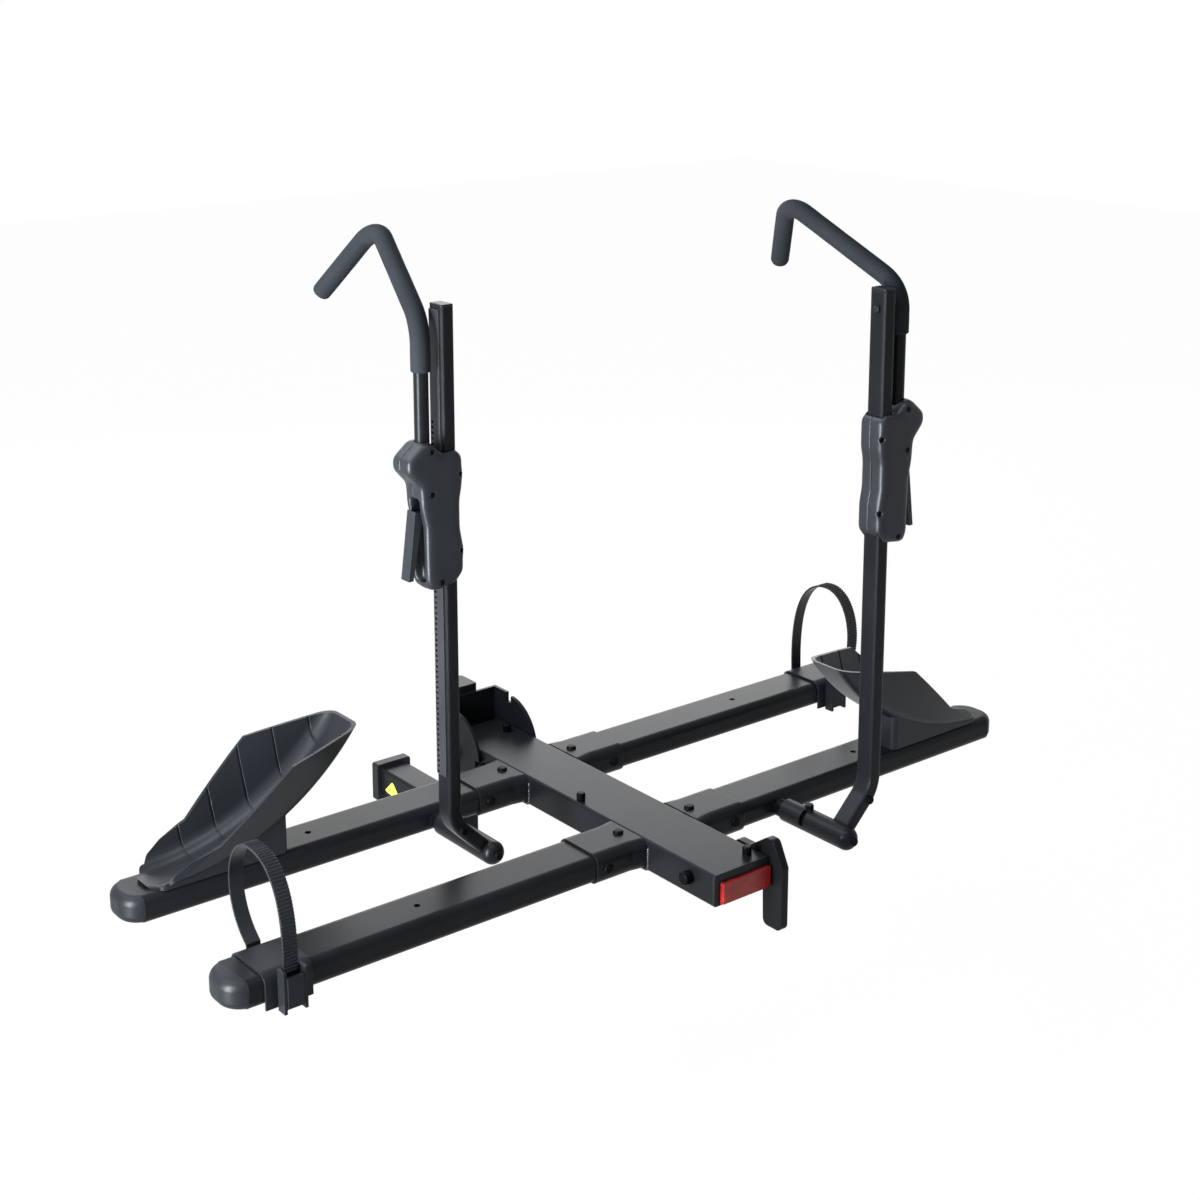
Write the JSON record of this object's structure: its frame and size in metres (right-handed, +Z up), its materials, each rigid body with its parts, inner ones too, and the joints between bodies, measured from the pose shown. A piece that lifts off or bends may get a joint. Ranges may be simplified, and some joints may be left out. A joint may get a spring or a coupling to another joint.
{
  "type": "hitch bike rack",
  "caption": "Platform bicycle rack for a square hitch receiver, with tilting beam, wheel cradles, ladder straps and folding ratchet hook arms.",
  "frame": {"origin": "centre of the hitch pin hole, on the shank's centreline", "axes": "+X along the trays, +Y along the shank towards the vehicle, +Z up"},
  "size_m": [1.394, 0.915, 1.0736],
  "materials": {
    "frame_paint": "fine textured black powder coat",
    "rack_steel": "black coated ratchet strip",
    "bare_steel": "blackened steel",
    "black_bolt": "black oxide",
    "black_plastic": "moulded black",
    "strap_plastic": "flexible moulded black",
    "foam": "closed-cell foam sleeve",
    "red_lens": "prismatic red reflector"
  },
  "bodies": {
    "hitch_mount": {"shank_tube": "frame_paint", "shank_end_cap": "black_plastic", "post": "frame_paint", "tilt_bracket": "frame_paint", "tilt_pivot_bolt": "black_bolt"},
    "platform": {"main_beam": "frame_paint", "beam_inserts": "bare_steel", "beam_end_cap": "black_plastic", "rear_reflector": "red_lens", "beam_studs": "black_bolt", "tray_bolts": "black_bolt", "tray_socket_front_left": "frame_paint", "tray_socket_front_right": "frame_paint", "tray_socket_rear_left": "frame_paint", "tray_socket_rear_right": "frame_paint", "tray_front_left": "frame_paint", "tray_front_right": "frame_paint", "tray_rear_left": "frame_paint", "tray_rear_right": "frame_paint", "tray_cap_front_left": "black_plastic", "tray_cap_front_right": "black_plastic", "tray_cap_rear_left": "black_plastic", "tray_cap_rear_right": "black_plastic", "wheel_cradle_left": "black_plastic", "wheel_cradle_right": "black_plastic", "foot_shaft_left": "bare_steel", "foot_shaft_right": "bare_steel"},
    "handle": {"tilt_handle": "black_plastic", "handle_shaft": "bare_steel"},
    "lock": {"lock_rod": "bare_steel"},
    "arm_left": {"foot_sleeve_left": "frame_paint", "foot_bolts_left": "black_bolt", "upright_left": "frame_paint", "upright_rack_left": "rack_steel", "upright_cap_left": "black_plastic"},
    "carriage_left": {"carriage_front_left": "black_plastic", "carriage_rear_left": "black_plastic", "carriage_pins_left": "black_bolt", "hook_tube_left": "frame_paint", "hook_foam_left": "foam"},
    "release_left": {"release_lever_left": "black_plastic"},
    "strap_left": {"strap_saddle_left": "black_plastic", "ladder_strap_left": "strap_plastic", "buckle_base_left": "black_plastic"},
    "buckle_left": {"buckle_lever_left": "black_plastic"},
    "arm_right": {"foot_sleeve_right": "frame_paint", "foot_bolts_right": "black_bolt", "upright_right": "frame_paint", "upright_rack_right": "rack_steel", "upright_cap_right": "black_plastic"},
    "carriage_right": {"carriage_front_right": "black_plastic", "carriage_rear_right": "black_plastic", "carriage_pins_right": "black_bolt", "hook_tube_right": "frame_paint", "hook_foam_right": "foam"},
    "release_right": {"release_lever_right": "black_plastic"},
    "strap_right": {"strap_saddle_right": "black_plastic", "ladder_strap_right": "strap_plastic", "buckle_base_right": "black_plastic"},
    "buckle_right": {"buckle_lever_right": "black_plastic"}
  },
  "joints": [
    {"name": "platform_tilt", "type": "hinge", "parent": "hitch_mount", "child": "platform", "pos_m": [0, -0.193, 0.151], "axis": [1, 0, 0], "range_deg": [-90, 0]},
    {"name": "handle_turn", "type": "hinge", "parent": "platform", "child": "handle", "pos_m": [0, -0.75, 0.155], "axis": [1, 0, 0], "range_deg": [-35, 0], "stiffness_Nm_per_rad": 1.5, "springref_deg": 17.19},
    {"name": "lock_slide", "type": "slide", "parent": "platform", "child": "lock", "axis": [0, -1, 0], "range_m": [0, 0.0085]},
    {"name": "arm_fold_left", "type": "hinge", "parent": "platform", "child": "arm_left", "pos_m": [-0.21, -0.487, 0.149], "axis": [0, -1, 0], "range_deg": [0, 90]},
    {"name": "carriage_slide_left", "type": "slide", "parent": "arm_left", "child": "carriage_left", "axis": [0, 0, 1], "range_m": [-0.22, 0.08]},
    {"name": "release_turn_left", "type": "hinge", "parent": "carriage_left", "child": "release_left", "pos_m": [-0.302, -0.496, 0.651], "axis": [0, -1, 0], "range_deg": [0, 8], "stiffness_Nm_per_rad": 0.6, "springref_deg": -11.46},
    {"name": "strap_slide_left", "type": "slide", "parent": "platform", "child": "strap_left", "axis": [1, 0, 0], "range_m": [-0.015, 0.1]},
    {"name": "buckle_turn_left", "type": "hinge", "parent": "strap_left", "child": "buckle_left", "pos_m": [-0.618, -0.6694, 0.132], "axis": [1, 0, 0], "range_deg": [0, 70], "stiffness_Nm_per_rad": 0.06, "springref_deg": -17.19},
    {"name": "arm_fold_right", "type": "hinge", "parent": "platform", "child": "arm_right", "pos_m": [0.21, -0.765, 0.149], "axis": [0, 1, 0], "range_deg": [0, 90]},
    {"name": "carriage_slide_right", "type": "slide", "parent": "arm_right", "child": "carriage_right", "axis": [0, 0, 1], "range_m": [-0.22, 0.08]},
    {"name": "release_turn_right", "type": "hinge", "parent": "carriage_right", "child": "release_right", "pos_m": [0.302, -0.774, 0.671], "axis": [0, 1, 0], "range_deg": [0, 8], "stiffness_Nm_per_rad": 0.6, "springref_deg": -11.46},
    {"name": "strap_slide_right", "type": "slide", "parent": "platform", "child": "strap_right", "axis": [-1, 0, 0], "range_m": [-0.015, 0.1]},
    {"name": "buckle_turn_right", "type": "hinge", "parent": "strap_right", "child": "buckle_right", "pos_m": [0.594, -0.3914, 0.132], "axis": [1, 0, 0], "range_deg": [0, 70], "stiffness_Nm_per_rad": 0.06, "springref_deg": -17.19}
  ],
  "couplings": [
    {"joint": "lock_slide", "follows": "handle_turn", "m_per_rad": -0.0131}
  ]
}
